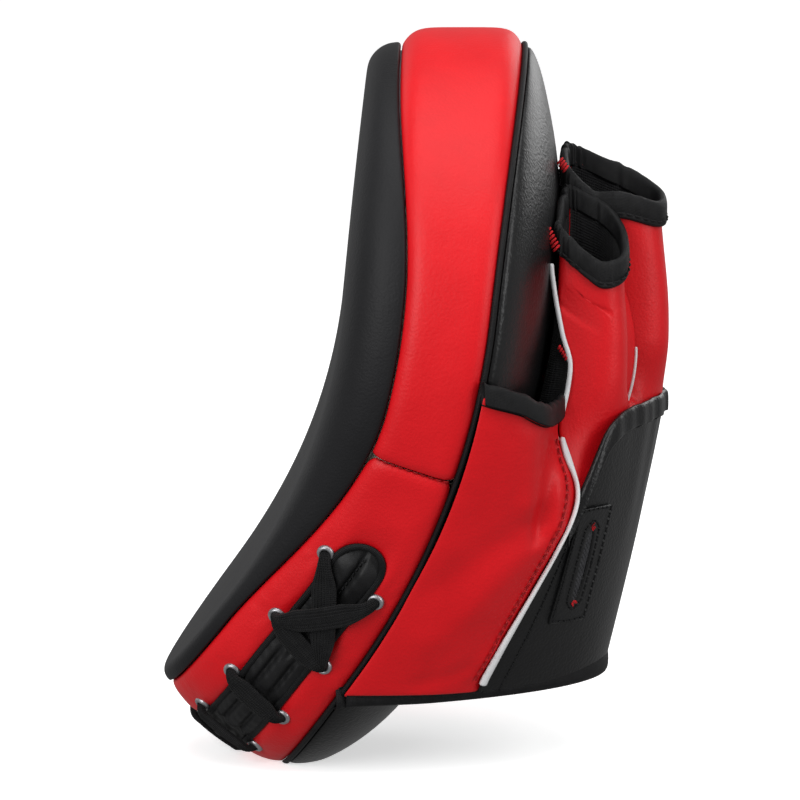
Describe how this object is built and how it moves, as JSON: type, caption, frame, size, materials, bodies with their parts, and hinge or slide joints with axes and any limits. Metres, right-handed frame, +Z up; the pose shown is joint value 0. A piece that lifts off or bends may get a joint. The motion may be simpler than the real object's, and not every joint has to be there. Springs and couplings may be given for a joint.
{
  "type": "focus mitt",
  "caption": "Curved hand-held boxing target pad with a glove on its back, laced lower edge, finger sleeves and a wrist strap that peels open.",
  "frame": {"origin": "middle of the hand pocket, where the hand holds the mitt", "axes": "+Z up along the fingers, strike face towards -Y, thumb towards +X"},
  "size_m": [0.1912, 0.1763, 0.2594],
  "materials": {
    "red_leather": "grained synthetic leather, satin",
    "face_leather": "matte grained synthetic leather",
    "black_leather": "semi-gloss grained synthetic leather",
    "binding": "folded woven binding tape and seam cord",
    "lace": "flat ribbed elastic lace",
    "white_piping": "smooth white piping",
    "foam": "dense impact foam",
    "soft_foam": "open-cell foam",
    "board": "thin stiffener board",
    "steel": "grey metal eyelets",
    "webbing": "ribbed elastic webbing",
    "lining": "black padded fabric",
    "fastener": "hook-and-loop tape"
  },
  "bodies": {
    "mitt": {"back_cover": "black_leather", "back_of_hand_hem": "black_leather", "back_of_hand_panel": "black_leather", "back_seam_cord": "binding", "core_foam": "soft_foam", "eyelet_back_bottom": "steel", "eyelet_back_far_1": "steel", "eyelet_back_far_2": "steel", "eyelet_back_far_3": "steel", "eyelet_back_far_4": "steel", "eyelet_back_near_1": "steel", "eyelet_back_near_2": "steel", "eyelet_back_near_3": "steel", "eyelet_back_near_4": "steel", "eyelet_front_bottom": "steel", "eyelet_front_far_1": "steel", "eyelet_front_far_2": "steel", "eyelet_front_far_3": "steel", "eyelet_front_far_4": "steel", "eyelet_front_near_1": "steel", "eyelet_front_near_2": "steel", "eyelet_front_near_3": "steel", "eyelet_front_near_4": "steel", "far_side_slot_patch": "black_leather", "gusset_lower": "red_leather", "gusset_upper": "red_leather", "impact_foam": "foam", "index_finger_binding": "binding", "index_finger_sleeve": "red_leather", "lace_bar_bottom": "lace", "lace_bar_far_1": "lace", "lace_bar_far_2": "lace", "lace_bar_near_1": "lace", "lace_bar_near_2": "lace", "lace_crossing_far": "lace", "lace_crossing_near": "lace", "lace_tongue": "lining", "little_finger_binding": "binding", "little_finger_side_panel": "red_leather", "little_finger_side_piping": "white_piping", "little_finger_sleeve": "red_leather", "middle_finger_binding": "binding", "middle_finger_sleeve": "red_leather", "palm_foam": "soft_foam", "palm_lining": "lining", "ring_finger_binding": "binding", "ring_finger_sleeve": "red_leather", "slot_binding": "binding", "stiffener_board": "board", "strap_loop_patch": "fastener", "strike_face_cover": "face_leather", "thumb_opening_binding": "binding", "thumb_side_panel": "red_leather", "thumb_side_piping": "white_piping", "thumb_side_slot_patch": "black_leather", "wrist_hem_binding": "binding", "wrist_strap": "webbing"},
    "strap_end": {"strap_tail": "webbing", "strap_hook_patch": "fastener"}
  },
  "joints": [
    {"name": "strap_peel", "type": "hinge", "parent": "mitt", "child": "strap_end", "pos_m": [-0.0498, 0.01936, 0.0055], "axis": [0.1802, -0.2197, -0.9588], "range_deg": [0, 110]}
  ]
}
